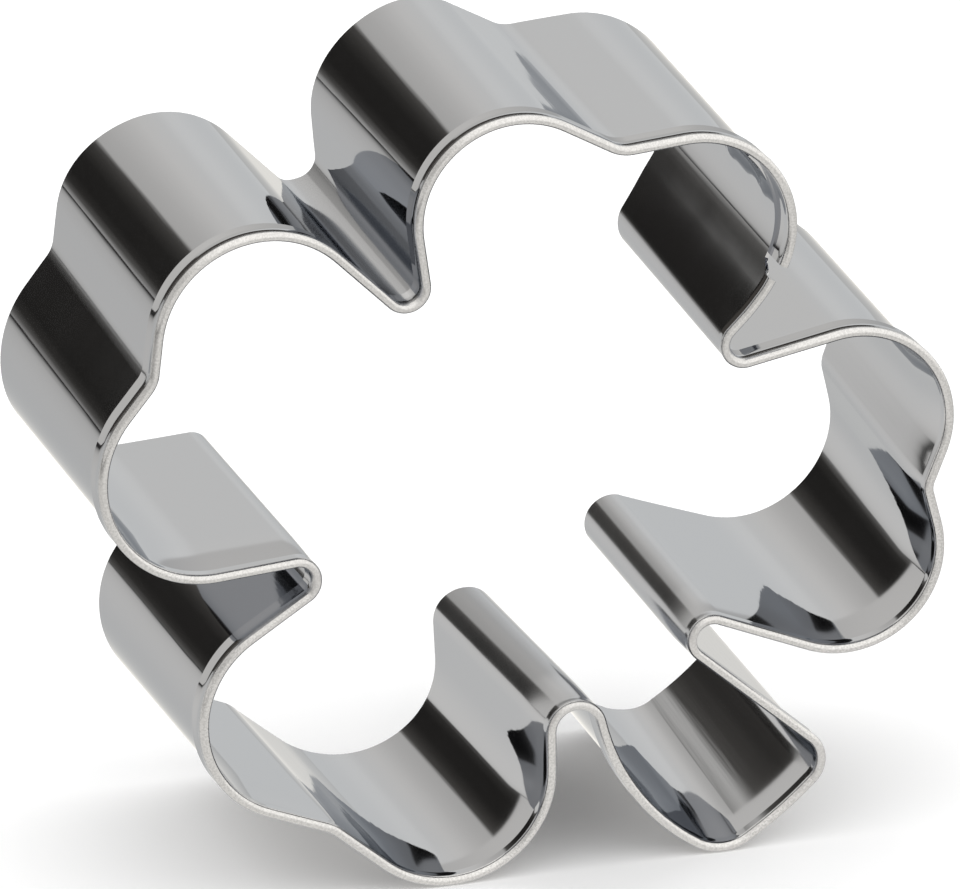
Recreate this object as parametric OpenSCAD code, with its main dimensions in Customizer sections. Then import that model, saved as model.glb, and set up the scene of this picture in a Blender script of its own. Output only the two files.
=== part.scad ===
// Four-leaf clover cookie cutter with a stem, standing on its side.
// One strip of polished steel is bent round the outline. Its hand edge is folded over
// outwards into a flat hem, and its other edge is left plain, to cut. The strip's inner
// end slides behind its outer end in the upper right leaf, where spot welds close the ring.

/* [Strip] */
// Depth of the strip, from the hand edge to the cutting edge
strip_depth = 25; // [18:1:35]
// Thickness of the sheet
sheet = 0.25; // [0.2:0.01:0.35]

/* [Hem] */
// Depth of the folded leg, from the rim to its cut edge
hem_depth = 1.9; // [1.2:0.1:3]
// Air between the wall and the folded leg
hem_gap = 0.1; // [0.04:0.01:0.15]

/* [Lap seam] */
// Length of the plain tongue, from its snipped corner to its hidden end
tongue_length = 8.6; // [6:0.1:10]
// How far the top of the tongue lies below the rim
tongue_drop = 2.2; // [1:0.1:4]
// Air between the tongue and the outer ply
ply_gap = 0.12; // [0.08:0.01:0.3]
// Distance round the leaf from the right notch's straight to the start of the hem
hem_start_run = 0.75; // [0.3:0.05:1.5]
// Length of the slope from the start of the hem down to the tongue
snip_length = 1.05; // [0.6:0.05:1.5]
// How far the outer ply's end stays clear of that slope
end_clearance = 0.35; // [0.2:0.05:1]

/* [Spot welds] */
// Diameter of a spot weld
weld_d = 2.2; // [1.5:0.1:3]
// Distance between neighbouring spot welds
weld_pitch = 7; // [4:0.5:8]

/* [Notches between the leaves] */
// Radius of the notches between the leaves, and of the stem's right notch
notch_r = 1.7; // [1.2:0.1:2.2]

/* [Upper right leaf] */
// Direction of the leaf from the middle of the clover
upper_right_angle = 47; // [44.5:0.1:49.5]
// Distance from the middle of the clover to the leaf
upper_right_reach = 19.3; // [18.5:0.1:21.5]
// Distance between the lobes
upper_right_spread = 12.9; // [11.6:0.1:13.6]
// Turn of the lobes out of square with the leaf's direction
upper_right_cant = -0.9; // [-4:0.1:3]
// Straight run left beside the dimple
upper_right_ease = 0.7; // [0.2:0.1:1.5]
// Radius of the lobes, to the inner face
upper_right_lobe_r = 6.8; // [6.3:0.1:7.8]
// Radius of the dimple between the lobes
upper_right_dimple_r = 2.9; // [1.8:0.1:3.6]

/* [Upper left leaf] */
// Direction of the leaf from the middle of the clover
upper_left_angle = 127.6; // [125:0.1:130]
// Distance from the middle of the clover to the leaf
upper_left_reach = 24.1; // [22.5:0.1:25.5]
// Distance between the lobes
upper_left_spread = 10.2; // [9.4:0.1:12]
// Turn of the lobes out of square with the leaf's direction
upper_left_cant = -1.8; // [-3:0.1:3]
// Straight run left beside the dimple
upper_left_ease = 0.3; // [0.2:0.1:1.5]
// Radius of the lobes, to the inner face
upper_left_lobe_r = 7.3; // [6.3:0.1:7.8]
// Radius of the dimple between the lobes
upper_left_dimple_r = 2.5; // [1.8:0.1:3.6]

/* [Lower left leaf] */
// Direction of the leaf from the middle of the clover
lower_left_angle = 203.2; // [201:0.1:206]
// Distance from the middle of the clover to the leaf
lower_left_reach = 21.6; // [20:0.1:22.5]
// Distance between the lobes
lower_left_spread = 12; // [11:0.1:13.4]
// Turn of the lobes out of square with the leaf's direction
lower_left_cant = 5; // [2:0.1:8]
// Straight run left beside the dimple
lower_left_ease = 0.9; // [0.2:0.1:2]
// Radius of the lobes, to the inner face
lower_left_lobe_r = 7; // [6.3:0.1:7.8]
// Radius of the dimple between the lobes
lower_left_dimple_r = 3.2; // [1.8:0.1:3.6]

/* [Lower right leaf] */
// Direction of the leaf from the middle of the clover
lower_right_angle = -38.1; // [-41:0.1:-36]
// Distance from the middle of the clover to the leaf
lower_right_reach = 21.5; // [20.5:0.1:23.5]
// Distance between the lobes
lower_right_spread = 9.5; // [8.6:0.1:11]
// Turn of the lobes out of square with the leaf's direction
lower_right_cant = 2.7; // [0:0.1:5]
// Straight run left beside the dimple
lower_right_ease = 0.3; // [0.2:0.1:1.5]
// Radius of the lobes, to the inner face
lower_right_lobe_r = 6.6; // [6.3:0.1:7.8]
// Radius of the dimple between the lobes
lower_right_dimple_r = 1.8; // [1.8:0.1:3.6]

/* [Notches] */
// How far the top notch reaches in past its neighbouring lobes' centres
top_notch_depth = 1.2; // [0.5:0.1:2.5]
// How far the top notch lies off the middle of its neighbours
top_notch_shift = 0.7; // [-1:0.1:1.5]
// How far the left notch reaches in past its neighbouring lobes' centres
left_notch_depth = 2.9; // [2.3:0.1:4.3]
// How far the left notch lies off the middle of its neighbours
left_notch_shift = -0.3; // [-1:0.1:1]
// How far the right notch reaches in past its neighbouring lobes' centres
right_notch_depth = 2.1; // [1.3:0.1:3]
// How far the right notch lies off the middle of its neighbours
right_notch_shift = -0.7; // [-1:0.1:1]

/* [Stem] */
// Direction of the stem's foot from the middle of the clover
stem_angle = -89; // [-91:0.1:-87]
// Distance from the middle of the clover to the stem's foot
stem_reach = 27.5; // [26.5:0.1:29]
// Distance between the centres of the foot's two corners
foot_width = 5.6; // [4.8:0.1:6.4]
// Turn of the foot out of square with the stem
foot_slant = -7.4; // [-10:0.1:-3]
// Radius of the foot's right corner
right_corner_r = 1.8; // [1.6:0.1:2.6]
// Radius of the foot's left corner
left_corner_r = 3.1; // [2.5:0.1:3.5]
// Radius of the bow in the stem's left side
stem_bow_r = 15.5; // [13:0.5:22]
// Radius of the notch between the stem and the lower left leaf
neck_r = 2.1; // [1.6:0.1:2.6]
// Clearance between that notch and the leaf's lobe
left_neck_ease = 0.4; // [0.2:0.1:1]
// Direction of that notch from the lobe
left_neck_angle = -14.5; // [-16:0.1:-10]
// Clearance between the right notch of the stem and the lower right leaf's lobe
right_neck_ease = 2.5; // [1.4:0.1:2.8]
// Direction of that notch from the lobe
right_neck_angle = 176.5; // [174:0.1:181]

/* [Hidden] */
arc_step = 8;
fold_steps = 4;
circle_fn = 48;

// Heights measured from the middle of the strip, towards the hand edge
fold_r = sheet + hem_gap / 2;
rim = strip_depth / 2;
fold_base = rim - fold_r;
leg_end = rim - hem_depth;
tongue_top = rim - tongue_drop;

function dir(angle) = [cos(angle), sin(angle)];
function wrap(angle) = angle - 360 * floor(angle / 360);
function arc_angle(run, radius) = 180 * run / (PI * radius);

// A pin is [centre, side]: the strip's inner face passes round it at its side,
// which is the radius of a pin inside the strip and minus the radius of one outside it.
function lobe(angle, reach, spread, cant, radius, end) =
    [reach * dir(angle) + end * spread / 2 * dir(angle + 90 + cant), radius];
function dimple(angle, reach, spread, cant, ease, lobe_radius, radius) =
    let (rise = sqrt((lobe_radius + radius + ease) ^ 2 - (spread / 2) ^ 2))
    [reach * dir(angle) + rise * dir(angle + cant), -radius];
function leaf(angle, reach, spread, cant, ease, lobe_radius, dimple_radius) = [
    lobe(angle, reach, spread, cant, lobe_radius, 1),
    dimple(angle, reach, spread, cant, ease, lobe_radius, dimple_radius),
    lobe(angle, reach, spread, cant, lobe_radius, -1)
];
function notch(before, after, depth, shift) =
    let (gap = after[0] - before[0],
         along = gap / norm(gap),
         inward = [along[1], -along[0]])
    [(before[0] + after[0]) / 2 + along * shift + inward * depth, -notch_r];
function beside(pin, angle, radius, ease) = [pin[0] + (pin[1] + radius + ease) * dir(angle), -radius];
function bow(neck, corner, radius) =
    let (gap = corner[0] - neck[0],
         span = norm(gap),
         along = gap / span,
         to_neck = radius - neck[1],
         to_corner = radius - corner[1],
         run = (to_neck ^ 2 - to_corner ^ 2 + span ^ 2) / (2 * span),
         rise = sqrt(to_neck ^ 2 - run ^ 2))
    [neck[0] + run * along + rise * [-along[1], along[0]], radius];

upper_right = leaf(
    upper_right_angle, upper_right_reach, upper_right_spread, upper_right_cant, upper_right_ease, upper_right_lobe_r, upper_right_dimple_r
);
upper_left = leaf(
    upper_left_angle, upper_left_reach, upper_left_spread, upper_left_cant, upper_left_ease, upper_left_lobe_r, upper_left_dimple_r
);
lower_left = leaf(
    lower_left_angle, lower_left_reach, lower_left_spread, lower_left_cant, lower_left_ease, lower_left_lobe_r, lower_left_dimple_r
);
lower_right = leaf(
    lower_right_angle, lower_right_reach, lower_right_spread, lower_right_cant, lower_right_ease, lower_right_lobe_r, lower_right_dimple_r
);
top_notch = notch(upper_left[2], upper_right[0], top_notch_depth, top_notch_shift);
left_notch = notch(lower_left[2], upper_left[0], left_notch_depth, left_notch_shift);
right_notch = notch(upper_right[2], lower_right[0], right_notch_depth, right_notch_shift);
foot = stem_reach * dir(stem_angle);
foot_side = dir(stem_angle + 90 + foot_slant);
right_corner = [foot + foot_width / 2 * foot_side, right_corner_r];
left_corner = [foot - foot_width / 2 * foot_side, left_corner_r];
right_neck = beside(lower_right[2], right_neck_angle, notch_r, right_neck_ease);
left_neck = beside(lower_left[0], left_neck_angle, neck_r, left_neck_ease);
stem_bow = bow(left_neck, left_corner, stem_bow_r);

// The pins in clockwise order, from the one after the seam to the seam's own lobe
seam_lobe = upper_right[2];
seam_r = seam_lobe[1];
pins = concat(
    [right_notch], lower_right, [right_neck, right_corner, left_corner, stem_bow, left_neck],
    lower_left, [left_notch], upper_left, [top_notch], upper_right
);
count = len(pins);

// Outward direction of the straight that leaves one pin and meets the next, which
// has no length where the pins touch
function straight_angle(from, to) =
    let (gap = to[0] - from[0], lean = (from[1] - to[1]) / norm(gap))
    atan2(gap[1], gap[0]) + acos(max(-1, min(1, lean)));
// A station is [centre, side, outward direction]
function arc(centre, side, start, end) =
    let (parts = max(1, ceil(abs(end - start) / arc_step)))
    [for (k = [0 : parts]) [centre, side, start + (end - start) * k / parts]];
function bend(pin, start, end) =
    arc(pin[0], pin[1], start, pin[1] > 0 ? start - wrap(start - end) : start + wrap(end - start));
function place(station, offset) = station[0] + (station[1] + offset) * dir(station[2]);

// The seam, on its lobe: the hem starts, the corner is snipped and the tongue goes on inside
seam_out = straight_angle(seam_lobe, right_notch);
hem_start = seam_out + arc_angle(hem_start_run, seam_r);
snip_end = hem_start + arc_angle(snip_length, seam_r);
hem_stop = snip_end + arc_angle(end_clearance, seam_r);
tongue_end = snip_end + arc_angle(tongue_length, seam_r);
tongue_side = seam_r - ply_gap - sheet;

tongue_stations = arc(seam_lobe[0], tongue_side, tongue_end, snip_end);
hem_stations = concat(
    arc(seam_lobe[0], seam_r, hem_start, seam_out),
    [for (i = [0 : count - 2]) each bend(
        pins[i],
        straight_angle(pins[(i + count - 1) % count], pins[i]),
        straight_angle(pins[i], pins[i + 1])
    )],
    bend(seam_lobe, straight_angle(pins[count - 2], seam_lobe), hem_stop)
);

// Sections through the strip, as [offset from the inner face, height]
plain_section = [[0, -rim], [0, tongue_top], [sheet, tongue_top], [sheet, -rim]];
fold = [for (k = [0 : fold_steps]) [fold_r, fold_base] + fold_r * dir(180 - 180 * k / fold_steps)];
hem_section = concat(
    [[0, -rim]],
    fold,
    [[2 * fold_r, leg_end], [sheet + hem_gap, leg_end], [sheet + hem_gap, fold_base], [sheet, fold_base], [sheet, -rim]]
);
hem_size = len(hem_section);
plain_size = len(plain_section);

function ring(station, section) =
    [for (q = section) let (p = place(station, q[0])) [p[0], p[1], q[1]]];
function quad(a, b, c, d) = [[a, b, c], [a, c, d]];
// The skin between two rings that start at points a and b and run through the same corners
function skin(a, b, corners_a, corners_b) =
    let (size = len(corners_a))
    [for (j = [0 : size - 1]) let (k = (j + 1) % size)
        each quad(a + corners_a[j], a + corners_a[k], b + corners_b[k], b + corners_b[j])];
// The cut end of the hem: its half round and its leg
function hem_end(a) =
    let (last = fold_steps + 1)
    concat(
        [concat([for (k = [1 : last]) a + k], [a + last + 3, a + last + 4])],
        [[a + last, a + last + 1, a + last + 2, a + last + 3]]
    );
function flip(faces) = [for (f = faces) [for (k = [len(f) - 1 : -1 : 0]) f[k]]];

all_corners = [for (j = [0 : hem_size - 1]) j];
plain_corners = [for (j = [0 : plain_size - 1]) j];
wall_corners = [0, 1, hem_size - 2, hem_size - 1];

outline = [for (s = concat(tongue_stations, hem_stations)) each [place(s, 0), place(s, 2 * fold_r)]];

// The cutter stands on its lower left leaf and on the stem's left corner
outer_skin = 2 * fold_r;
feet_gap = left_corner[0] - lower_left[0][0];
feet_step = left_corner[1] - lower_left[0][1];
stand_angle = asin(feet_step / norm(feet_gap)) - atan2(feet_gap[1], feet_gap[0]);
across = [for (p = outline) p[0] * cos(stand_angle) - p[1] * sin(stand_angle)];
heights = [for (p = outline) p[0] * sin(stand_angle) + p[1] * cos(stand_angle)];
middle = (max(across) + min(across)) / 2;
floor_level = min(heights);

module stand() {
    translate([-middle, 0, -floor_level]) rotate([90, 0, 0]) rotate([0, 0, stand_angle]) children();
}

module cutter_strip() {
    tongue_count = len(tongue_stations);
    hem_count = len(hem_stations);
    base = tongue_count * plain_size;
    last_plain = base - plain_size;
    last_hem = base + (hem_count - 1) * hem_size;
    points = concat(
        [for (s = tongue_stations) each ring(s, plain_section)],
        [for (s = hem_stations) each ring(s, hem_section)]
    );
    faces = concat(
        [[3, 2, 1, 0]],
        [for (i = [0 : tongue_count - 2])
            each skin(i * plain_size, (i + 1) * plain_size, plain_corners, plain_corners)],
        skin(last_plain, base, plain_corners, wall_corners),
        flip(hem_end(base)),
        [for (i = [0 : hem_count - 2])
            each skin(base + i * hem_size, base + (i + 1) * hem_size, all_corners, all_corners)],
        [[for (j = wall_corners) last_hem + j]],
        hem_end(last_hem)
    );
    color("silver") stand() polyhedron(points, faces, convexity = 10);
}

// A spot weld fills the air between the two plies at the middle of the lap
module spot_weld(level) {
    lap_middle = (hem_stop + tongue_end) / 2;
    inner = seam_r - ply_gap;
    outer = seam_r * cos(arc_step / 2);
    color("gainsboro") stand() translate([seam_lobe[0][0], seam_lobe[0][1], level]) rotate([0, 0, lap_middle])
        intersection() {
            rotate([0, 90, 0]) cylinder(d = weld_d, h = 2 * seam_r, $fn = circle_fn);
            rotate_extrude($fn = 4 * circle_fn) translate([inner, -weld_d]) square([outer - inner, 2 * weld_d]);
        }
}
module spot_weld_front() { spot_weld(weld_pitch); }
module spot_weld_middle() { spot_weld(0); }
module spot_weld_back() { spot_weld(-weld_pitch); }

cutter_strip();
spot_weld_front();
spot_weld_middle();
spot_weld_back();
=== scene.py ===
"""Four-leaf clover cookie cutter with a stem, standing on its side in a pale studio.

One strip of polished steel is bent round the outline. Its hand edge is rolled outwards
into a hem, and its two ends lap in the upper right leaf, where spot welds hold them.
Sizes are millimetres in the pattern's plane until a piece is stood up in the frame.
"""

import bisect
import logging
import math
from collections.abc import Mapping, Sequence
from dataclasses import dataclass, field
from enum import Enum

import bmesh
import bpy
from mathutils import Matrix, Vector


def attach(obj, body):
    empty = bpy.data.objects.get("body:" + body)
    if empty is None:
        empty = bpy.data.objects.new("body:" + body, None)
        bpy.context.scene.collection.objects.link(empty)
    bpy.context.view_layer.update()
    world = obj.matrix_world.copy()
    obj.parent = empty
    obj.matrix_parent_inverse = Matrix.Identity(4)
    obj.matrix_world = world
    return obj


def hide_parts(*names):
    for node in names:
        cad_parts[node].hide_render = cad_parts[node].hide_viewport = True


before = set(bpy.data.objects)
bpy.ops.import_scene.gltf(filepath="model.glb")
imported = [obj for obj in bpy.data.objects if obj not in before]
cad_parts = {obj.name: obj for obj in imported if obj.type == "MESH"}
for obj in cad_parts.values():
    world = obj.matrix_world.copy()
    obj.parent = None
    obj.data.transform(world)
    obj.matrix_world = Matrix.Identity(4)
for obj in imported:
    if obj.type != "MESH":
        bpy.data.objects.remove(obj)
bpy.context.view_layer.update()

LOG = logging.getLogger("cookie_cutter")
MM = 0.001
PHOTO_WIDTH = 960
SHARP_ANGLE = 35.0
STILL = Vector((0.0, 0.0, 0.0))

Colour = tuple[float, float, float]
Shift = tuple[float, float]
Stop = tuple[float, Colour]


# Node sheets: shader maths as Python expressions

class Signal:
    """A socket's output, on which Python's operators add Math nodes."""

    def __init__(self, sheet: "NodeSheet", socket: bpy.types.NodeSocket) -> None:
        """Wrap an output socket.

        Args:
            sheet: The sheet that new nodes go on.
            socket: The output socket that carries the value.
        """
        self.sheet = sheet
        self.socket = socket

    def _maths(self, operation: str, first: "Signal | float", second: "Signal | float") -> "Signal":
        """Add a Math node.

        Args:
            operation: The node's operation.
            first: Its first operand.
            second: Its second operand.

        Returns:
            The node's result.
        """
        node = self.sheet.add("ShaderNodeMath", {"operation": operation}, {0: first, 1: second})
        return Signal(self.sheet, node.outputs[0])

    def __add__(self, other: "Signal | float") -> "Signal":
        """Return self + other."""
        return self._maths("ADD", self, other)

    def __radd__(self, other: float) -> "Signal":
        """Return other + self."""
        return self._maths("ADD", other, self)

    def __sub__(self, other: "Signal | float") -> "Signal":
        """Return self - other."""
        return self._maths("SUBTRACT", self, other)

    def __rsub__(self, other: float) -> "Signal":
        """Return other - self."""
        return self._maths("SUBTRACT", other, self)

    def __mul__(self, other: "Signal | float") -> "Signal":
        """Return self * other."""
        return self._maths("MULTIPLY", self, other)

    def __rmul__(self, other: float) -> "Signal":
        """Return other * self."""
        return self._maths("MULTIPLY", other, self)

    def __truediv__(self, other: "Signal | float") -> "Signal":
        """Return self / other."""
        return self._maths("DIVIDE", self, other)

    def fraction(self) -> "Signal":
        """Return the part after the decimal point."""
        return self._maths("FRACT", self, 0.0)

    def bearing(self, other: "Signal") -> "Signal":
        """Return the angle of the point (other, self), in radians."""
        return self._maths("ARCTAN2", self, other)

    def step(self, low: float, high: float) -> "Signal":
        """Rise smoothly from 0 to 1.

        Args:
            low: The value at which the rise starts.
            high: The value at which it ends.

        Returns:
            The risen value.
        """
        settings = {"interpolation_type": "SMOOTHSTEP"}
        node = self.sheet.add(
            "ShaderNodeMapRange", settings, {"Value": self, "From Min": low, "From Max": high}
        )
        return Signal(self.sheet, node.outputs["Result"])


class NodeSheet:
    """The node tree of a material or a world, cleared and ready for its own nodes."""

    def __init__(self, owner: bpy.types.Material | bpy.types.World) -> None:
        """Clear an owner's nodes.

        Args:
            owner: The material or the world.
        """
        owner.use_nodes = True
        self.tree = owner.node_tree
        self.tree.nodes.clear()

    def add(
        self,
        kind: str,
        settings: Mapping[str, object] | None = None,
        sockets: Mapping[str | int, object] | None = None,
    ) -> bpy.types.Node:
        """Add a node.

        Args:
            kind: The node's type.
            settings: Its own settings, which are set first. "stops" gives a ramp's stops.
            sockets: Values or links for its inputs, by name or number.

        Returns:
            The new node.
        """
        node = self.tree.nodes.new(kind)
        for name, value in (settings or {}).items():
            if name == "stops":
                self._set_stops(node.color_ramp, value)
            else:
                setattr(node, name, value)
        for name, value in (sockets or {}).items():
            if isinstance(value, Signal):
                self.tree.links.new(value.socket, node.inputs[name])
            elif isinstance(value, bpy.types.NodeSocket):
                self.tree.links.new(value, node.inputs[name])
            else:
                node.inputs[name].default_value = value
        return node

    @staticmethod
    def _set_stops(ramp: bpy.types.ColorRamp, stops: Sequence[Stop]) -> None:
        """Give a ramp its stops.

        Args:
            ramp: The ramp.
            stops: Position and colour of each stop, in order.
        """
        while len(ramp.elements) > 1:
            ramp.elements.remove(ramp.elements[-1])
        ramp.elements[0].position = stops[0][0]
        ramp.elements[0].color = (*stops[0][1], 1.0)
        for position, colour in stops[1:]:
            ramp.elements.new(position).color = (*colour, 1.0)

    def out(self, node: bpy.types.Node, name: str | int = 0) -> Signal:
        """Return one output of a node as a signal."""
        return Signal(self, node.outputs[name])

    def mix(self, factor: "Signal | float", first: object, second: object) -> bpy.types.NodeSocket:
        """Mix two colours.

        Args:
            factor: How much of the second colour shows.
            first: The colour at 0.
            second: The colour at 1.

        Returns:
            The mixed colour's socket.
        """
        node = self.add(
            "ShaderNodeMix",
            {"data_type": "RGBA"},
            {0: factor, 6: self._whole(first), 7: self._whole(second)},
        )
        return node.outputs[2]

    def times(self, colour: bpy.types.NodeSocket, factor: Colour) -> bpy.types.NodeSocket:
        """Multiply a colour by another.

        Args:
            colour: The colour's socket.
            factor: What each channel is multiplied by.

        Returns:
            The product's socket.
        """
        node = self.add("ShaderNodeVectorMath", {"operation": "MULTIPLY"}, {0: colour, 1: factor})
        return node.outputs[0]

    def joined(self, first: Signal, second: Signal) -> bpy.types.NodeSocket:
        """Join two signals into a vector whose third part is zero."""
        node = self.add("ShaderNodeCombineXYZ", {}, {"X": first, "Y": second, "Z": 0.0})
        return node.outputs[0]

    def noise(
        self, place: bpy.types.NodeSocket, scale: float, detail: float = 2.0, gain: float = 0.5
    ) -> Signal:
        """Add a noise.

        Args:
            place: Where it is looked up.
            scale: Its scale.
            detail: Number of its finer layers.
            gain: Strength of each finer layer.

        Returns:
            The noise, about 0.5.
        """
        sockets = {"Vector": place, "Scale": scale, "Detail": detail, "Roughness": gain}
        return self.out(self.add("ShaderNodeTexNoise", {}, sockets))

    @staticmethod
    def _whole(colour: object) -> object:
        """Give a plain colour its alpha, and pass a link on."""
        if isinstance(colour, tuple):
            return (*colour, 1.0)
        return colour


def grey(level: float, warmth: float = 0.0) -> Colour:
    """Return a grey.

    Args:
        level: Its linear level.
        warmth: How far red rises and blue falls, as a share of the level.

    Returns:
        The colour.
    """
    return (level * (1.0 + warmth), level, level * (1.0 - warmth))


# The pattern: pins that the strip is bent past

def heading(angle: float) -> Vector:
    """Return the unit vector at an angle, in degrees, in the pattern's plane."""
    turn = math.radians(angle)
    return Vector((math.cos(turn), math.sin(turn), 0.0))


def swing(run: float, radius: float) -> float:
    """Return the degrees that a run takes up on an arc."""
    return math.degrees(run / radius)


def smooth(value: float) -> float:
    """Return a smooth step from 0 to 1, level at both ends."""
    inside = min(1.0, max(0.0, value))
    return inside * inside * (3.0 - 2.0 * inside)


def hump(share: float) -> float:
    """Return a hump that is 0 at both ends of a way and 1 at its middle."""
    return 4.0 * share * (1.0 - share)


@dataclass(frozen=True)
class Pin:
    """A post that the strip's inner face passes.

    Its side is its radius where it stands inside the ring, and minus its radius outside.
    Its lean is how far the far edge of the strip stands off from the hemmed one there.
    """

    centre: Vector
    side: float
    lean: Shift

    def leaving_for(self, following: "Pin") -> float:
        """Find the straight that leaves this pin for the next one.

        Args:
            following: The next pin, clockwise.

        Returns:
            The straight's outward direction, in degrees.
        """
        gap = following.centre - self.centre
        lean = max(-1.0, min(1.0, (self.side - following.side) / gap.length))
        return math.degrees(math.atan2(gap.y, gap.x) + math.acos(lean))


@dataclass(frozen=True)
class Bend:
    """The strip's bend round one pin, between two outward directions in degrees."""

    pin: Pin
    start: float
    end: float


@dataclass(frozen=True)
class Leaf:
    """A leaf of two lobes with a dimple between them.

    Its spread is the way between the lobes' pins, its cant turns them off the leaf's own
    direction, and its ease is the slack between a lobe's pin and the dimple's.
    """

    angle: float
    reach: float
    spread: float
    cant: float
    ease: float
    lobe_r: float
    dimple_r: float
    leans: tuple[Shift, Shift, Shift]

    def pins(self) -> list[Pin]:
        """Return the leaf's lobe, dimple and lobe, clockwise."""
        middle = self.reach * heading(self.angle)
        half = self.spread / 2.0 * heading(self.angle + 90.0 + self.cant)
        between = self.lobe_r + self.dimple_r + self.ease
        rise = math.sqrt(between**2 - (self.spread / 2.0) ** 2)
        dimple = middle + rise * heading(self.angle + self.cant)
        return [
            Pin(middle + half, self.lobe_r, self.leans[0]),
            Pin(dimple, -self.dimple_r, self.leans[1]),
            Pin(middle - half, self.lobe_r, self.leans[2]),
        ]


@dataclass(frozen=True)
class Notch:
    """A notch between the lobes of two leaves."""

    depth: float
    shift: float
    lean: Shift
    radius: float = 1.7

    def pin(self, before: Pin, after: Pin) -> Pin:
        """Place the notch's pin.

        Args:
            before: The lobe that comes before it, clockwise.
            after: The lobe that comes after it.

        Returns:
            The notch's pin, outside the ring.
        """
        along = (after.centre - before.centre).normalized()
        inward = Vector((along.y, -along.x, 0.0))
        middle = (before.centre + after.centre) / 2.0
        return Pin(middle + self.shift * along + self.depth * inward, -self.radius, self.lean)


@dataclass(frozen=True)
class Stem:
    """The stem, between the two lower leaves."""

    angle: float = -89.0
    reach: float = 27.5
    foot_width: float = 5.6
    foot_slant: float = -7.4
    right_corner_r: float = 1.8
    left_corner_r: float = 3.1
    bow_r: float = 15.5
    left_neck_r: float = 2.1
    left_neck_ease: float = 0.4
    left_neck_angle: float = -14.5
    right_neck_r: float = 1.7
    right_neck_ease: float = 2.5
    right_neck_angle: float = 176.5
    right_neck_lean: Shift = (0.07, -0.69)
    right_corner_lean: Shift = (0.0, -0.42)
    left_corner_lean: Shift = (0.90, -0.35)
    bow_lean: Shift = (0.1, -0.45)
    left_neck_lean: Shift = (-0.97, -0.60)

    @staticmethod
    def _beside(lobe: Pin, angle: float, radius: float, ease: float, lean: Shift) -> Pin:
        """Place a neck's pin beside a lobe.

        Args:
            lobe: The lobe.
            angle: Direction of the neck from the lobe, in degrees.
            radius: The neck's radius.
            ease: Clearance between the two.
            lean: The neck's lean.

        Returns:
            The neck's pin, outside the ring.
        """
        return Pin(lobe.centre + (lobe.side + radius + ease) * heading(angle), -radius, lean)

    def _bow(self, neck: Pin, corner: Pin) -> Pin:
        """Place the large pin that bows the stem's left side.

        Args:
            neck: The left neck.
            corner: The foot's left corner.

        Returns:
            The bow's pin, which touches both.
        """
        gap = corner.centre - neck.centre
        along = gap.normalized()
        to_neck = self.bow_r - neck.side
        to_corner = self.bow_r - corner.side
        run = (to_neck**2 - to_corner**2 + gap.length**2) / (2.0 * gap.length)
        rise = math.sqrt(to_neck**2 - run**2)
        across = Vector((-along.y, along.x, 0.0))
        return Pin(neck.centre + run * along + rise * across, self.bow_r, self.bow_lean)

    def pins(self, before: Pin, after: Pin) -> list[Pin]:
        """Return the stem's pins, clockwise.

        Args:
            before: The lower right leaf's last lobe.
            after: The lower left leaf's first lobe.

        Returns:
            Right neck, right corner, left corner, bow and left neck.
        """
        foot = self.reach * heading(self.angle)
        half = self.foot_width / 2.0 * heading(self.angle + 90.0 + self.foot_slant)
        right_corner = Pin(foot + half, self.right_corner_r, self.right_corner_lean)
        left_corner = Pin(foot - half, self.left_corner_r, self.left_corner_lean)
        right_neck = self._beside(
            before, self.right_neck_angle, self.right_neck_r, self.right_neck_ease,
            self.right_neck_lean,
        )
        left_neck = self._beside(
            after, self.left_neck_angle, self.left_neck_r, self.left_neck_ease,
            self.left_neck_lean,
        )
        return [
            right_neck, right_corner, left_corner, self._bow(left_neck, left_corner), left_neck
        ]


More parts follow.
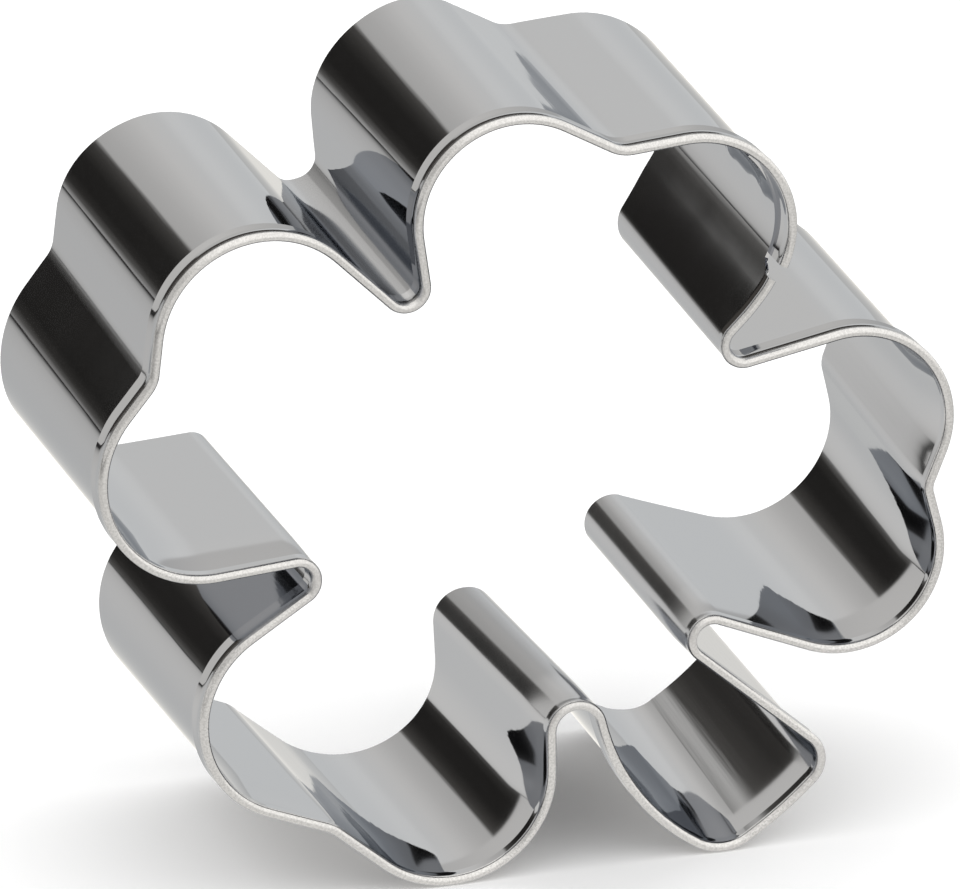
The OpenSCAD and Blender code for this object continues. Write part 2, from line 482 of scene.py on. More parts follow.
@dataclass(frozen=True)
class Pattern:
    """The clover that the strip is bent round, its middle at the origin."""

    upper_right: Leaf = Leaf(
        angle=47.0, reach=19.3, spread=12.9, cant=-0.9, ease=0.7, lobe_r=6.8, dimple_r=2.9,
        leans=((0.08, 0.05), (-0.30, 0.93), (-0.16, 0.63)),
    )
    upper_left: Leaf = Leaf(
        angle=127.6, reach=24.1, spread=10.2, cant=-1.8, ease=0.3, lobe_r=7.3, dimple_r=2.5,
        leans=((-0.03, 0.25), (0.45, 0.75), (0.09, 0.26)),
    )
    lower_left: Leaf = Leaf(
        angle=203.2, reach=21.6, spread=12.0, cant=5.0, ease=0.9, lobe_r=7.0, dimple_r=3.2,
        leans=((-0.32, -0.45), (-0.50, -0.45), (-0.26, 0.07)),
    )
    lower_right: Leaf = Leaf(
        angle=-38.1, reach=21.5, spread=9.5, cant=2.7, ease=0.3, lobe_r=6.6, dimple_r=1.8,
        leans=((-0.08, 0.07), (0.59, -0.23), (0.26, -0.01)),
    )
    top_notch: Notch = Notch(depth=1.2, shift=0.7, lean=(-0.12, 0.87))
    left_notch: Notch = Notch(depth=2.9, shift=-0.3, lean=(-0.35, 0.14))
    right_notch: Notch = Notch(depth=2.1, shift=-0.7, lean=(0.16, -0.31))
    stem: Stem = Stem()

    def pins(self) -> list[Pin]:
        """Return all pins clockwise, from the right notch to the seam's lobe."""
        upper_right, upper_left = self.upper_right.pins(), self.upper_left.pins()
        lower_left, lower_right = self.lower_left.pins(), self.lower_right.pins()
        return [
            self.right_notch.pin(upper_right[-1], lower_right[0]),
            *lower_right,
            *self.stem.pins(lower_right[-1], lower_left[0]),
            *lower_left,
            self.left_notch.pin(lower_left[-1], upper_left[0]),
            *upper_left,
            self.top_notch.pin(upper_left[-1], upper_right[0]),
            *upper_right,
        ]

    def bends(self, seam_stop: float) -> list[Bend]:
        """Follow the strip round the pins.

        Args:
            seam_stop: Outward direction at which the strip's outer end is cut, in degrees.

        Returns:
            The bends, clockwise, of which the last one ends at the seam.
        """
        pins = self.pins()
        made = []
        for before, pin, after in zip(pins[-1:] + pins[:-1], pins, pins[1:] + pins[:1]):
            start = before.leaving_for(pin)
            end = seam_stop if pin is pins[-1] else pin.leaving_for(after)
            turned = -((start - end) % 360.0) if pin.side > 0.0 else (end - start) % 360.0
            made.append(Bend(pin, start, start + turned))
        return made

    def stand(self, skin: float) -> Matrix:
        """Stand the pattern on its lower left leaf and the stem's left corner.

        Args:
            skin: How far the strip reaches out from the pins.

        Returns:
            The transform from the pattern in millimetres to the frame in metres.
        """
        lobe = self.lower_left.pins()[0]
        pins = self.pins()
        corner = next(
            after for before, after in zip(pins, pins[1:]) if before.side == self.stem.right_corner_r
        )
        gap = corner.centre - lobe.centre
        lean = math.asin((corner.side - lobe.side) / gap.length) - math.atan2(gap.y, gap.x)
        turn = Matrix.Rotation(lean, 4, "Z")
        posts = [pin for pin in pins if 0.0 < pin.side < self.stem.bow_r]
        placed = [(turn @ pin.centre, pin.side + skin) for pin in posts]
        left = min(centre.x - side for centre, side in placed)
        right = max(centre.x + side for centre, side in placed)
        low = min(centre.y - side for centre, side in placed)
        upright = Matrix.Rotation(math.radians(90.0), 4, "X")
        shift = Matrix.Translation((-(left + right) / 2.0, 0.0, -low))
        return Matrix.Scale(MM, 4) @ shift @ upright @ turn


# The strip

class Layer(Enum):
    """Names of the strip's own layers."""

    RUN = "run"
    ROUND = "round"
    OUTWARD = "outward"
    TIGHT = "tightness"
    MAP = "strip_map"


class Sweep:
    """Draws sections along the pattern, bend by bend, and notes each corner's place.

    Bends of a smaller radius than slack_r count as tight, and straights shorter than the
    least share of a step are left out.
    """

    slack_r: float = 3.2
    least_step: float = 0.01

    def __init__(self) -> None:
        """Start an empty strip."""
        self.mesh = bmesh.new()
        self._add_layers(self.mesh)
        self.travelled = 0.0
        self.leans: list[tuple[float, Vector]] = []

    @staticmethod
    def _add_layers(mesh: bmesh.types.BMesh) -> None:
        """Add the layers that hold each corner's place and how tightly it is bent."""
        mesh.verts.layers.float.new(Layer.RUN.value)
        mesh.verts.layers.float.new(Layer.ROUND.value)
        mesh.verts.layers.float_vector.new(Layer.OUTWARD.value)
        mesh.verts.layers.float.new(Layer.TIGHT.value)

    @staticmethod
    def layers(mesh: bmesh.types.BMesh) -> tuple:
        """Return a mesh's layers of run, way round the section and outward direction."""
        floats, vectors = mesh.verts.layers.float, mesh.verts.layers.float_vector
        return floats[Layer.RUN.value], floats[Layer.ROUND.value], vectors[Layer.OUTWARD.value]

    def _draw(
        self, section: bpy.types.Mesh, bend: Bend, way: Vector, parts: int, bow: float = 0.0
    ) -> None:
        """Draw a section on and add what it draws to the strip.

        Args:
            section: The section, drawn at the origin with x outwards and z along the height.
            bend: The bend, whose start places the section.
            way: Straight way from there, or nothing for the bend itself.
            parts: Number of steps.
            bow: How far the middle of a straight bulges out.
        """
        piece = bmesh.new()
        self._add_layers(piece)
        piece.from_mesh(section)
        angle = 0.0 if way.length > 0.0 else bend.end - bend.start
        turn = Matrix.Rotation(math.radians(bend.start), 4, "Z")
        place = Matrix.Translation(bend.pin.centre) @ turn
        offset = Matrix.Translation((bend.pin.side, 0.0, 0.0))
        bmesh.ops.transform(piece, matrix=place @ offset, verts=piece.verts)
        size = len(piece.verts)
        bmesh.ops.spin(
            piece, geom=piece.verts[:] + piece.edges[:], cent=bend.pin.centre,
            axis=(0.0, 0.0, 1.0), dvec=way / parts, angle=math.radians(angle), steps=parts,
            use_duplicate=False,
        )
        length = way.length + abs(bend.pin.side) * math.radians(abs(angle))
        run, _, outward = self.layers(piece)
        tight = piece.verts.layers.float[Layer.TIGHT.value]
        bent = max(0.0, min(1.0, self.slack_r - abs(bend.pin.side))) if angle else 0.0
        for number, vert in enumerate(piece.verts):
            share = (number // size) / parts
            vert[tight] = bent * hump(share)
            vert[run] = self.travelled + share * length
            vert[outward] = heading(bend.start + share * angle)
            vert.co += vert[outward] * bow * hump(share)
        self.travelled += length
        drawn = bpy.data.meshes.new("drawn")
        piece.to_mesh(drawn)
        piece.free()
        self.mesh.from_mesh(drawn)
        bpy.data.meshes.remove(drawn)

    def turn(self, section: bpy.types.Mesh, bend: Bend, step: float) -> None:
        """Draw a section round a bend.

        Args:
            section: The section.
            bend: The bend.
            step: Largest angle of one step, in degrees.
        """
        parts = max(1, math.ceil(abs(bend.end - bend.start) / step))
        before = self.travelled
        self._draw(section, bend, STILL, parts)
        self.leans.append(((before + self.travelled) / 2.0, Vector((*bend.pin.lean, 0.0))))

    def straight(
        self, section: bpy.types.Mesh, last: Bend, bend: Bend, step: float, bow: float
    ) -> None:
        """Draw a section along the straight from one bend to the next, if there is any.

        Args:
            section: The section.
            last: The bend that the straight leaves.
            bend: The bend that it leads to.
            step: Largest length of one step.
            bow: How far its middle bulges out.
        """
        outward = heading(bend.start)
        reached = last.pin.centre + last.pin.side * outward
        way = bend.pin.centre + bend.pin.side * outward - reached
        if way.length > step * self.least_step:
            leaving = Bend(last.pin, bend.start, bend.start)
            self._draw(section, leaving, way, max(1, round(way.length / step)), bow)

    def lean_at(self, run: float) -> Vector:
        """Find how far the far edge stands off at a run, between the pins that it passes.

        Args:
            run: The run.

        Returns:
            The lean.
        """
        place = bisect.bisect([reached for reached, _ in self.leans], run)
        if place in (0, len(self.leans)):
            return self.leans[min(place, len(self.leans) - 1)][1]
        (start, first), (end, last) = self.leans[place - 1], self.leans[place]
        return first.lerp(last, smooth((run - start) / (end - start)))


@dataclass
class SteelStrip:
    """The strip with its rolled hem, its tongue and the dents of its spot welds.

    Lengths are in millimetres and angles in degrees. Heights run from the far edge at minus
    rim to the hemmed edge at plus rim.
    """

    pattern: Pattern = field(default_factory=Pattern)
    depth: float = 25.0
    sheet: float = 0.25
    skin: float = 0.6
    bead_r: float = 0.34
    bead_middle: float = 0.28
    inner_slope: float = 5.0
    outer_slope: float = 6.0
    leg_gap: float = 0.05
    leg_lean: float = 0.1
    edge_cut: float = 0.05
    hem_depth: float = 2.05
    tongue_length: float = 8.6
    tongue_drop: float = 2.2
    ply_gap: float = 0.12
    hem_start_run: float = 1.3
    snip_length: float = 0.85
    end_clearance: float = 0.3
    lap_run: float = 2.0
    weld_pitch: float = 7.0
    weld_dent_r: float = 1.0
    weld_dent: float = 0.07
    weld_reach: float = 4.0
    foot_bow: float = 0.13
    flare: float = 0.25
    flare_depth: float = 6.0
    flare_angle: float = -60.0
    flare_spread: float = 0.7
    flare_start: float = 6.0
    flare_rise: float = 3.0
    merge: float = 0.005
    wall_rows: int = 36
    bead_steps: int = 20
    slope_steps: int = 4
    leg_steps: int = 3
    turn_step: float = 3.0
    run_step: float = 0.8

    def __post_init__(self) -> None:
        """Work out the heights and the seam's directions."""
        self.rim = self.depth / 2.0
        self.bead_height = self.rim - self.bead_r
        self.leg_face = 2.0 * self.sheet + self.leg_gap
        self.wall_top = self._slope_end(self.inner_slope, self.bead_middle)
        self.leg_top = self._slope_end(self.outer_slope, self.leg_face - self.bead_middle)
        self.leg_end = self.rim - self.hem_depth
        self.tongue_top = self.rim - self.tongue_drop
        pins = self.pattern.pins()
        self.seam_lobe = pins[-1]
        radius = self.seam_lobe.side
        self.seam_out = self.seam_lobe.leaving_for(pins[0])
        self.hem_start = self.seam_out + swing(self.hem_start_run, radius)
        self.snip_end = self.hem_start + swing(self.snip_length, radius)
        self.hem_stop = self.snip_end + swing(self.end_clearance, radius)
        self.tongue_end = self.snip_end + swing(self.tongue_length, radius)

    def _slope_end(self, slope: float, reach: float) -> float:
        """Find the height at which a slope that touches the bead comes down to a face.

        Args:
            slope: The slope, in degrees off the face.
            reach: Distance from the bead's middle to the face.

        Returns:
            The height.
        """
        lean = math.radians(slope)
        touch = self.bead_height - self.bead_r * math.sin(lean)
        return touch - (self.bead_r * math.cos(lean) - reach) / math.tan(lean)

    def _line(
        self, mesh: bmesh.types.BMesh, corner: bmesh.types.BMVert,
        way: tuple[float, float], steps: int = 1,
    ) -> bmesh.types.BMVert:
        """Draw a corner along a straight of the section.

        Args:
            mesh: The mesh.
            corner: The corner that starts the straight.
            way: How far it goes, in offset and height.
            steps: Number of its steps.

        Returns:
            The corner at the end of the straight.
        """
        step = Vector((way[0], 0.0, way[1])) / steps
        return self._draw(mesh, corner, STILL, 0.0, step, steps)

    def _arc(
        self, mesh: bmesh.types.BMesh, corner: bmesh.types.BMVert,
        middle: tuple[float, float], angle: float, steps: int,
    ) -> bmesh.types.BMVert:
        """Draw a corner round an arc of the section.

        Args:
            mesh: The mesh.
            corner: The corner that starts the arc.
            middle: Offset and height of the arc's centre.
            angle: Angle of the arc, in degrees.
            steps: Number of its steps.

        Returns:
            The corner at the end of the arc.
        """
        centre = Vector((middle[0], 0.0, middle[1]))
        return self._draw(mesh, corner, centre, angle, STILL, steps)

    @staticmethod
    def _draw(
        mesh: bmesh.types.BMesh, corner: bmesh.types.BMVert,
        centre: Vector, angle: float, step: Vector, steps: int,
    ) -> bmesh.types.BMVert:
        """Draw a corner on in equal steps.

        Args:
            mesh: The mesh.
            corner: The corner that starts the line.
            centre: Centre of its turn.
            angle: Angle of its turn, in degrees.
            step: Straight way of one step.
            steps: Number of steps.

        Returns:
            The corner at the end of the line.
        """
        drawn = bmesh.ops.spin(
            mesh, geom=[corner], cent=centre, axis=(0.0, 1.0, 0.0), dvec=step,
            angle=math.radians(angle), steps=steps, use_duplicate=False,
        )
        return next(part for part in drawn["geom_last"] if isinstance(part, bmesh.types.BMVert))

    @staticmethod
    def _close(
        mesh: bmesh.types.BMesh, first: bmesh.types.BMVert, last: bmesh.types.BMVert
    ) -> bpy.types.Mesh:
        """Close a section and write each corner's way round it into its vertex.

        Args:
            mesh: The section's mesh, which is freed.
            first: The section's first corner.
            last: Its last corner.

        Returns:
            The section.
        """
        layer = mesh.verts.layers.float[Layer.ROUND.value]
        corner, edge, way = first, first.link_edges[0], 0.0
        while corner != last:
            corner[layer] = way
            way += edge.calc_length()
            corner = edge.other_vert(corner)
            edge = next((other for other in corner.link_edges if other != edge), edge)
        corner[layer] = way
        mesh.edges.new((last, first))
        section = bpy.data.meshes.new("section")
        mesh.to_mesh(section)
        mesh.free()
        return section

    @staticmethod
    def _open() -> bmesh.types.BMesh:
        """Return an empty section."""
        mesh = bmesh.new()
        mesh.verts.layers.float.new(Layer.ROUND.value)
        return mesh

    def _wall_section(self) -> bpy.types.Mesh:
        """Draw the plain section of the tongue.

        Returns:
            The section.
        """
        shoulder = self.wall_top - self.sheet / 2.0
        mesh = self._open()
        first = mesh.verts.new((0.0, 0.0, -self.rim))
        corner = self._line(mesh, first, (0.0, shoulder + self.rim), self.wall_rows)
        corner = self._line(mesh, corner, (0.0, self.wall_top - shoulder))
        corner = self._line(mesh, corner, (self.sheet, 0.0))
        corner = self._line(mesh, corner, (0.0, shoulder - self.wall_top))
        corner = self._line(mesh, corner, (0.0, -self.rim - shoulder), self.wall_rows)
        return self._close(mesh, first, corner)

    def _hem_section(self) -> bpy.types.Mesh:
        """Draw the section of the wall with its rolled hem.

        Returns:
            The section.
        """
        mesh = self._open()
        shoulder = self.wall_top - self.sheet / 2.0
        cut = self.edge_cut
        lean_in, lean_out = math.radians(self.inner_slope), math.radians(self.outer_slope)
        inner_touch = (
            self.bead_middle - self.bead_r * math.cos(lean_in),
            self.bead_height - self.bead_r * math.sin(lean_in) - self.wall_top,
        )
        outer_fall = (
            self.leg_face - self.bead_middle - self.bead_r * math.cos(lean_out),
            self.leg_top - self.bead_height + self.bead_r * math.sin(lean_out),
        )
        leg = self.leg_end - self.leg_top
        first = mesh.verts.new((0.0, 0.0, -self.rim))
        corner = self._line(mesh, first, (0.0, shoulder + self.rim), self.wall_rows)
        corner = self._line(mesh, corner, (0.0, self.wall_top - shoulder))
        corner = self._line(mesh, corner, inner_touch, self.leg_steps)
        bead = (self.bead_middle, self.bead_height)
        around = 180.0 + self.inner_slope + self.outer_slope
        corner = self._arc(mesh, corner, bead, around, self.bead_steps)
        corner = self._line(mesh, corner, outer_fall, self.slope_steps)
        corner = self._line(mesh, corner, (self.leg_lean, leg + cut), self.leg_steps)
        corner = self._line(mesh, corner, (-cut, -cut))
        corner = self._line(mesh, corner, (cut - self.sheet, 0.0))
        corner = self._line(mesh, corner, (-self.leg_lean, self.wall_top - self.leg_end))
        corner = self._line(mesh, corner, (2.0 * self.sheet - self.leg_face, 0.0))
        corner = self._line(mesh, corner, (0.0, shoulder - self.wall_top))
        corner = self._line(mesh, corner, (0.0, -self.rim - shoulder), self.wall_rows)
        return self._close(mesh, first, corner)

    def _shape_tongue(self, mesh: bmesh.types.BMesh) -> None:
        """Lower the tongue's top and snip its corner.

        Args:
            mesh: The tongue, drawn at full height on the outer ply's line.
        """
        run, _, _ = Sweep.layers(mesh)
        for vert in mesh.verts:
            past = (vert[run] + self.hem_start_run + self.snip_length) / self.snip_length
            rise = smooth(past)
            top = self.tongue_top + (self.wall_top - self.tongue_top) * rise
            share = (vert.co.z + self.rim) / (self.wall_top + self.rim)
            vert.co.z = -self.rim + share * (top + self.rim)

    def _dent_welds(self, mesh: bmesh.types.BMesh, depth: float) -> None:
        """Press the dents of the spot welds into one ply.

        Args:
            mesh: The ply.
            depth: Depth of the dents, outwards.
        """
        _, _, outward = Sweep.layers(mesh)
        middle = (self.hem_stop + self.tongue_end) / 2.0
        spot = self.seam_lobe.centre + self.seam_lobe.side * heading(middle)
        for vert in mesh.verts:
            flat = Vector((vert.co.x, vert.co.y, 0.0)) - spot
            across = flat.dot(heading(middle + 90.0))
            if abs(across) > self.weld_reach * self.weld_dent_r or flat.length > self.seam_lobe.side:
                continue
            for level in (-self.weld_pitch, 0.0, self.weld_pitch):
                far = math.hypot(across, vert.co.z - level) / self.weld_dent_r
                vert.co += vert[outward] * depth * math.exp(-far * far)

    def _flare_walls(self, mesh: bmesh.types.BMesh, sweep: Sweep) -> None:
        """Lap the tongue, draw the walls in behind the rim, and lean them as the pins say.

        Args:
            mesh: The whole strip, tongue and all.
            sweep: What drew it, which knows the leans.
        """
        run, _, outward = Sweep.layers(mesh)
        flared = heading(self.flare_angle)
        lap = self.hem_start_run + self.snip_length + self.end_clearance
        for vert in mesh.verts:
            inside = smooth((self.lap_run - vert[run]) / (self.lap_run + lap))
            vert.co -= vert[outward] * (self.ply_gap + self.sheet) * inside
            down = max(0.0, self.rim - vert.co.z)
            drawn_in = 1.0 - max(0.0, 1.0 - down / self.flare_depth) ** 2
            facing = smooth(self.flare_spread + vert[outward].dot(flared))
            begun = smooth((vert[run] - self.flare_start) / self.flare_rise)
            vert.co -= vert[outward] * self.flare * drawn_in * facing * begun
            vert.co += sweep.lean_at(vert[run]) * down / self.depth

    def _tongue(self) -> Sweep:
        """Draw the tongue, up to where the hem starts.

        Returns:
            The tongue.
        """
        sweep, section = Sweep(), self._wall_section()
        lobe = self.seam_lobe
        lap = math.radians(self.tongue_end - self.hem_start) * lobe.side
        sweep.travelled = -self.hem_start_run - lap
        sweep.turn(section, Bend(lobe, self.tongue_end, self.snip_end), self.turn_step)
        sweep.turn(section, Bend(lobe, self.snip_end, self.hem_start), self.turn_step)
        self._shape_tongue(sweep.mesh)
        self._dent_welds(sweep.mesh, self.weld_dent)
        return sweep

    def _hemmed(self) -> Sweep:
        """Draw the hemmed strip round the whole pattern.

        Returns:
            The strip without its tongue.
        """
        sweep, section = Sweep(), self._hem_section()
        sweep.travelled = -self.hem_start_run
        last = Bend(self.seam_lobe, self.hem_start, self.seam_out)
        sweep.turn(section, last, self.turn_step)
        for bend in self.pattern.bends(self.hem_stop):
            at_foot = last.pin.side == self.pattern.stem.right_corner_r
            bow = self.foot_bow if at_foot else 0.0
            sweep.straight(section, last, bend, self.run_step, bow)
            sweep.turn(section, bend, self.turn_step)
            last = bend
        self._dent_welds(sweep.mesh, -self.weld_dent)
        return sweep

    def build(self) -> bpy.types.Object:
        """Make the strip's object.

        Returns:
            The object, in the frame.
        """
        tongue, whole = self._tongue(), self._hemmed()
        drawn = bpy.data.meshes.new("tongue")
        tongue.mesh.to_mesh(drawn)
        tongue.mesh.free()
        mesh = whole.mesh
        mesh.from_mesh(drawn)
        self._flare_walls(mesh, whole)
        bmesh.ops.remove_doubles(mesh, verts=mesh.verts, dist=self.merge)
        rims = [edge for edge in mesh.edges if edge.is_boundary]
        bmesh.ops.holes_fill(mesh, edges=rims, sides=0)
        bmesh.ops.recalc_face_normals(mesh, faces=mesh.faces)
        self._write_map(mesh)
        bmesh.ops.transform(mesh, matrix=self.pattern.stand(self.skin), verts=mesh.verts)
        return finished_object("steel_strip", mesh)

    @staticmethod
    def _write_map(mesh: bmesh.types.BMesh) -> None:
        """Write run and way round the section into the strip's UV map, in millimetres."""
        run, around, _ = Sweep.layers(mesh)
        layer = mesh.loops.layers.uv.new(Layer.MAP.value)
        for face in mesh.faces:
            for loop in face.loops:
                loop[layer].uv = (loop.vert[run], loop.vert[around])


def finished_object(name: str, mesh: bmesh.types.BMesh) -> bpy.types.Object:
    """Turn a mesh that is in place into a smooth-shaded object.

    Args:
        name: The object's name.
        mesh: The mesh, in metres in the frame.

    Returns:
        The linked object.
    """
    data = bpy.data.meshes.new(name)
    mesh.to_mesh(data)
    mesh.free()
    data.shade_smooth()
    data.set_sharp_from_angle(angle=math.radians(SHARP_ANGLE))
    made = bpy.data.objects.new(name, data)
    bpy.context.scene.collection.objects.link(made)
    return made


# Finishes

@dataclass(frozen=True)
class PolishedSteel:
    """Bright rolled steel with faint streaks along the strip and a satin bead.

    The bead's start and end are ways round the section, and the ripple's start and full
    strength are distances from the bead's middle, all in millimetres.
    """

    name: str = "polished_steel_finish"
    colour: Colour = (0.45, 0.46, 0.485)
    edge_tint: Colour = (0.56, 0.58, 0.61)
    bead_colour: Colour = (0.53, 0.537, 0.555)
    bead_shade: Colour = (0.455, 0.461, 0.477)
    roughness: float = 0.05
    bead_roughness: float = 0.25
    tight_roughness: float = 0.11
    roughness_spread: float = 0.03
    ripple: float = 0.006
    ripple_pitch: float = 1.3
    ripple_drift: float = 0.05
    ripple_start: float = 4.0
    ripple_full: float = 9.4868
    streak_pitch: float = 6.0
    streak_drift: float = 0.04
    streak_detail: float = 3.0
    streak_gain: float = 0.6
    cloud_scale: float = 160.0
    grain_scale: float = 6500.0
    grain_low: float = 0.38
    grain_high: float = 0.62
    bead_start: float = 24.7
    bead_end: float = 26.05
    bead_soft: float = 0.1

    def make(self) -> bpy.types.Material:
        """Return the material."""
        material = bpy.data.materials.new(self.name)
        sheet = NodeSheet(material)
        place = sheet.add("ShaderNodeTexCoord").outputs["Object"]
        spread = sheet.add("ShaderNodeUVMap", {"uv_map": Layer.MAP.value}).outputs[0]
        split = sheet.add("ShaderNodeSeparateXYZ", {}, {0: spread})
        run, around = sheet.out(split, "X"), sheet.out(split, "Y")
        soft = self.bead_soft
        bead = around.step(self.bead_start - soft, self.bead_start + soft) - around.step(
            self.bead_end - soft, self.bead_end + soft
        )
        rolled = sheet.joined(run * self.streak_drift, around * self.streak_pitch)
        streaks = sheet.noise(rolled, 1.0, self.streak_detail, self.streak_gain)
        clouds = sheet.noise(place, self.cloud_scale)
        grain = sheet.noise(place, self.grain_scale).step(self.grain_low, self.grain_high)
        satin = sheet.mix(grain, self.bead_shade, self.bead_colour)
        bent = sheet.add("ShaderNodeAttribute", {"attribute_name": Layer.TIGHT.value})
        rough = self.roughness + sheet.out(bent, "Fac") * self.tight_roughness
        rough = rough + (streaks - 0.5) * self.roughness_spread
        rough = rough + (clouds - 0.5) * self.roughness_spread
        waved = sheet.joined(run * self.ripple_pitch, around * self.ripple_drift)
        ripple = sheet.noise(waved, 1.0)
        from_bead = around - (self.bead_start + self.bead_end) / 2.0
        fade = (from_bead * from_bead).step(self.ripple_start**2, self.ripple_full**2)
        wavy = sheet.add("ShaderNodeBump", {}, {
            "Strength": 1.0, "Distance": self.ripple * MM, "Height": (ripple - 0.5) * fade,
        })
        shader = sheet.add(
            "ShaderNodeBsdfPrincipled", {}, {
                "Base Color": sheet.mix(bead, self.colour, satin),
                "Metallic": 1.0,
                "Specular Tint": (*self.edge_tint, 1.0),
                "Roughness": rough + bead * (self.bead_roughness - self.roughness),
                "Normal": wavy.outputs[0],
            },
        )
        sheet.add("ShaderNodeOutputMaterial", {}, {"Surface": shader.outputs[0]})
        return material


@dataclass(frozen=True)
class WeldMetal:
    """Dull fused steel with a mottled heat tint."""

    name: str = "weld_metal_finish"
    colour: Colour = (0.34, 0.342, 0.346)
    tint: Colour = (0.25, 0.24, 0.235)
    roughness: float = 0.38
    roughness_spread: float = 0.2
    mottle_scale: float = 1500.0
    mottle_detail: float = 3.0
    mottle_low: float = 0.4
    mottle_high: float = 0.65

    def make(self) -> bpy.types.Material:
        """Return the material."""
        material = bpy.data.materials.new(self.name)
        sheet = NodeSheet(material)
        place = sheet.add("ShaderNodeTexCoord").outputs["Object"]
        mottle = sheet.noise(place, self.mottle_scale, self.mottle_detail)
        tinted = mottle.step(self.mottle_low, self.mottle_high)
        shader = sheet.add(
            "ShaderNodeBsdfPrincipled", {}, {
                "Base Color": sheet.mix(tinted, self.colour, self.tint),
                "Metallic": 1.0,
                "Roughness": self.roughness + (mottle - 0.5) * self.roughness_spread,
            },
        )
        sheet.add("ShaderNodeOutputMaterial", {}, {"Surface": shader.outputs[0]})
        return material


# The studio

def turn_stops(levels: Sequence[tuple[float, float, float]]) -> list[Stop]:
    """Turn bearings into a ramp's stops.

    Args:
        levels: Bearing in degrees, linear level and warmth of each stop.

    Returns:
        The stops.
    """
    return [(bearing / 360.0, grey(level, warmth)) for bearing, level, warmth in levels]


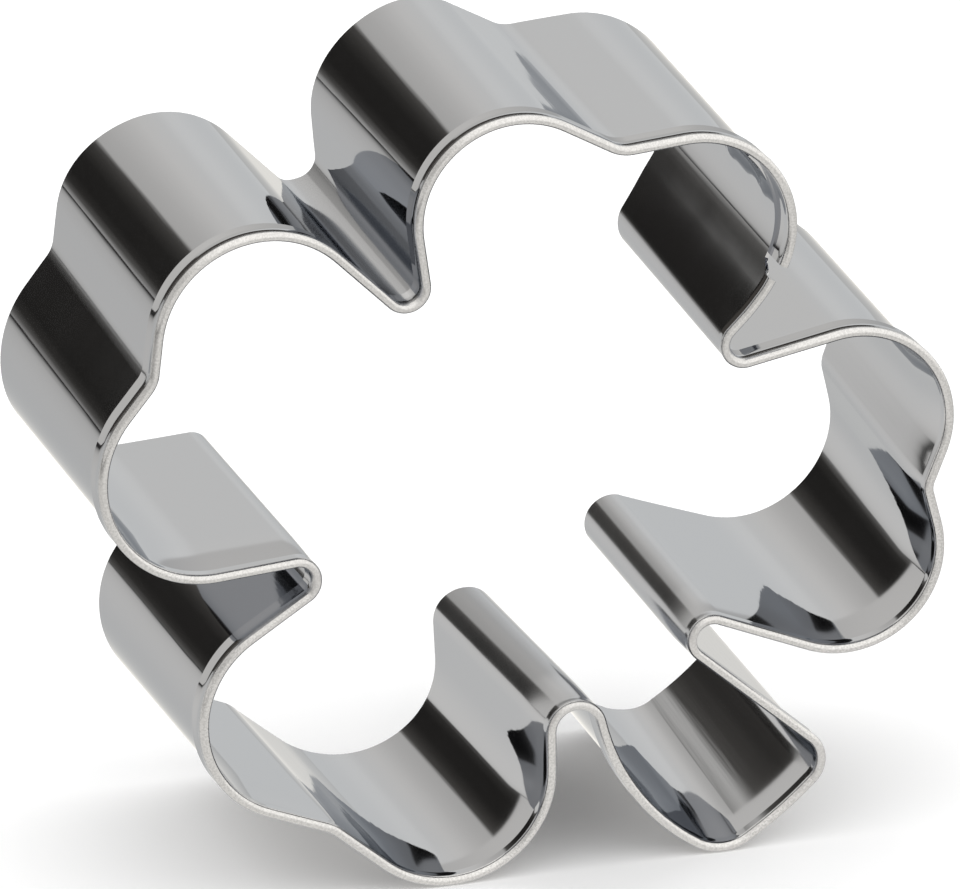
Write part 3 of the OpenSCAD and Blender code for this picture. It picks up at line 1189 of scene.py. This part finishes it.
@dataclass(frozen=True)
class Studio:
    """Floor, light and camera.

    The camera sees the world at level, and the floor is lit from low_level near the horizon
    to high_level overhead. The room's tones, times shine, are what the metal reflects. Those
    in behind fill a cone about +Y with a dark pole in its middle, and those in ring lie
    round that cone. Each has its bearing about +Y in degrees, its linear level and its
    warmth. For the metal's reflections only, the floor glows in painted light and dark bands,
    a painted reflection whose tones each have their place across and their level.
    """

    level: float = 1.22
    low_level: float = 0.4
    high_level: float = 1.75
    low_height: float = 0.1
    ring_start: float = 50.0
    ring_end: float = 36.0
    ring_level: float = 0.56
    cone_start: float = 30.4
    cone_end: float = 29.8
    pole_start: float = 23.5
    pole_end: float = 22.0
    pole_level: float = 0.06
    pole_warmth: float = 0.08
    shine: Colour = (1.80, 1.73, 1.60)
    floor_half: float = 0.65
    floor_colour: Colour = (1.0, 1.0, 1.0)
    target: Vector = Vector((0.000273, 0.0, 0.027222))
    distance: float = 2.2
    azimuth: float = -16.8806
    elevation: float = 21.3795
    roll: float = -0.5738
    focal: float = 31956.5
    sensor: float = 36.0
    far_clip: float = 20.0
    behind: tuple = (
        (0.0, 0.81, -0.01), (40.0, 0.80, -0.01), (50.0, 0.77, -0.01), (60.0, 0.70, -0.01),
        (80.0, 0.66, 0.0), (90.0, 0.61, 0.0), (100.0, 0.555, 0.0), (110.0, 0.51, 0.0),
        (122.0, 0.475, 0.0), (126.0, 0.075, 0.03), (131.0, 0.048, 0.04), (138.0, 0.03, 0.04),
        (146.0, 0.018, 0.04), (166.0, 0.017, 0.04), (176.0, 0.032, 0.04), (182.0, 0.10, 0.02),
        (190.0, 0.50, 0.0), (200.0, 0.62, 0.0), (240.0, 0.66, 0.0), (300.0, 0.72, 0.0),
        (312.0, 0.9, 0.0), (330.0, 0.83, -0.01), (360.0, 0.81, -0.01),
    )
    ring: tuple = (
        (0.0, 0.95, 0.0), (60.0, 1.0, 0.0), (110.0, 1.0, 0.0), (126.0, 0.75, 0.0),
        (150.0, 0.45, 0.0), (170.0, 0.6, 0.0), (200.0, 0.9, 0.0), (270.0, 0.95, 0.0),
        (360.0, 0.95, 0.0),
    )
    # Painted reflection: the floor's glow for the metal, as place across and level.
    painted_reflection_floor_tones: tuple = (
        (-0.30, 0.03), (-0.22, 0.40), (-0.17, 0.53), (-0.11, 0.59), (-0.05, 0.67),
        (0.0, 0.73), (0.05, 0.67), (0.11, 0.64), (0.5, 0.64),
    )

    def light(self) -> None:
        """Make the world: plain white, lit from above, with the room's tones for metal."""
        world = bpy.data.worlds.new("studio_light")
        bpy.context.scene.world = world
        sheet = NodeSheet(world)
        ray = sheet.add("ShaderNodeTexCoord").outputs["Generated"]
        split = sheet.add("ShaderNodeSeparateXYZ", {}, {0: ray})
        across, away, up = (sheet.out(split, axis) for axis in "XYZ")
        turned = (up.bearing(across) / math.tau + 1.0).fraction()
        behind = sheet.add("ShaderNodeValToRGB", {"stops": turn_stops(self.behind)}, {0: turned})
        ring = sheet.add("ShaderNodeValToRGB", {"stops": turn_stops(self.ring)}, {0: turned})
        dimmed = self._within(away, self.ring_start, self.ring_end)
        ringed = sheet.mix(dimmed, ring.outputs[0], grey(self.ring_level))
        cone = self._within(away, self.cone_start, self.cone_end)
        room = sheet.mix(cone, ringed, behind.outputs[0])
        pole = self._within(away, self.pole_start, self.pole_end)
        room = sheet.mix(pole, room, grey(self.pole_level, self.pole_warmth))
        room = sheet.times(room, self.shine)
        path = sheet.add("ShaderNodeLightPath")
        height = up.step(self.low_height, 1.0)
        overhead = sheet.mix(height, grey(self.low_level), grey(self.high_level))
        plain = sheet.mix(sheet.out(path, "Is Camera Ray"), overhead, grey(self.level))
        seen = sheet.mix(sheet.out(path, "Is Glossy Ray"), plain, room)
        shader = sheet.add("ShaderNodeBackground", {}, {"Color": seen, "Strength": 1.0})
        sheet.add("ShaderNodeOutputWorld", {}, {"Surface": shader.outputs[0]})

    @staticmethod
    def _within(away: Signal, start: float, end: float) -> Signal:
        """Rise from 0 to 1 between two angles off an axis.

        Args:
            away: Cosine of the angle off the axis.
            start: Angle at which the rise starts, in degrees.
            end: Smaller angle at which it ends.

        Returns:
            The risen value.
        """
        return away.step(math.cos(math.radians(start)), math.cos(math.radians(end)))

    def floor(self) -> bpy.types.Object:
        """Make the floor, which glows painted reflection bands for the metal only.

        Returns:
            The floor.
        """
        mesh = bmesh.new()
        bmesh.ops.create_grid(mesh, x_segments=1, y_segments=1, size=self.floor_half)
        made = finished_object("studio_floor", mesh)
        material = bpy.data.materials.new("floor_paper_with_painted_reflections")
        sheet = NodeSheet(material)
        # For glossy rays only, the floor glows in painted light and dark bands: a painted reflection
        # in the metal.
        place = sheet.add("ShaderNodeTexCoord").outputs["Object"]
        across = sheet.out(sheet.add("ShaderNodeSeparateXYZ", {}, {0: place}), "X")
        width = 2.0 * self.floor_half
        along = (across + self.floor_half) / width
        stops = [((x + self.floor_half) / width, grey(tone)) for x, tone in self.painted_reflection_floor_tones]
        ramp = sheet.add("ShaderNodeValToRGB", {"stops": stops}, {0: along})
        paper = sheet.add("ShaderNodeBsdfDiffuse", {}, {"Color": (*self.floor_colour, 1.0)})
        painted_reflection_glow = sheet.add("ShaderNodeEmission", {}, {
            "Color": sheet.times(ramp.outputs[0], self.shine), "Strength": 1.0,
        })
        path = sheet.add("ShaderNodeLightPath")
        surface = sheet.add("ShaderNodeMixShader", {}, {
            0: path.outputs["Is Glossy Ray"], 1: paper.outputs[0], 2: painted_reflection_glow.outputs[0],
        })
        sheet.add("ShaderNodeOutputMaterial", {}, {"Surface": surface.outputs[0]})
        made.data.materials.append(material)
        return made

    def camera(self) -> None:
        """Make the camera at the photograph's viewing angle."""
        azimuth, elevation = math.radians(self.azimuth), math.radians(self.elevation)
        back = Vector((
            math.sin(azimuth) * math.cos(elevation),
            -math.cos(azimuth) * math.cos(elevation),
            math.sin(elevation),
        ))
        right = Vector((math.cos(azimuth), math.sin(azimuth), 0.0))
        axes = Matrix((right, back.cross(right), back)).transposed()
        turn = axes @ Matrix.Rotation(math.radians(self.roll), 3, "Z")
        data = bpy.data.cameras.new("studio_camera")
        data.sensor_width = self.sensor
        data.lens = self.focal * self.sensor / PHOTO_WIDTH
        data.clip_end = self.far_clip
        made = bpy.data.objects.new("studio_camera", data)
        made.matrix_world = Matrix.Translation(self.target + back * self.distance) @ turn.to_4x4()
        bpy.context.scene.collection.objects.link(made)
        bpy.context.scene.camera = made


def dress(node: str, material: bpy.types.Material) -> None:
    """Give a CAD node a better material.

    Args:
        node: The node's name.
        material: The material.
    """
    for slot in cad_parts[node].material_slots:
        slot.material = material


def main() -> None:
    """Build the cutter and the studio."""
    logging.basicConfig(level=logging.INFO, format="%(name)s: %(message)s")
    steel = PolishedSteel().make()
    strip = SteelStrip().build()
    strip.data.materials.append(steel)
    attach(strip, "root")
    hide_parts("cutter_strip")
    LOG.info("%s: %d faces", strip.name, len(strip.data.polygons))
    weld = WeldMetal().make()
    for node in ("spot_weld_front", "spot_weld_middle", "spot_weld_back"):
        dress(node, weld)
        LOG.info("%s: dressed", node)
    studio = Studio()
    studio.light()
    studio.floor()
    studio.camera()
    bpy.context.scene.view_settings.view_transform = "Standard"


if __name__ == "__main__":
    main()
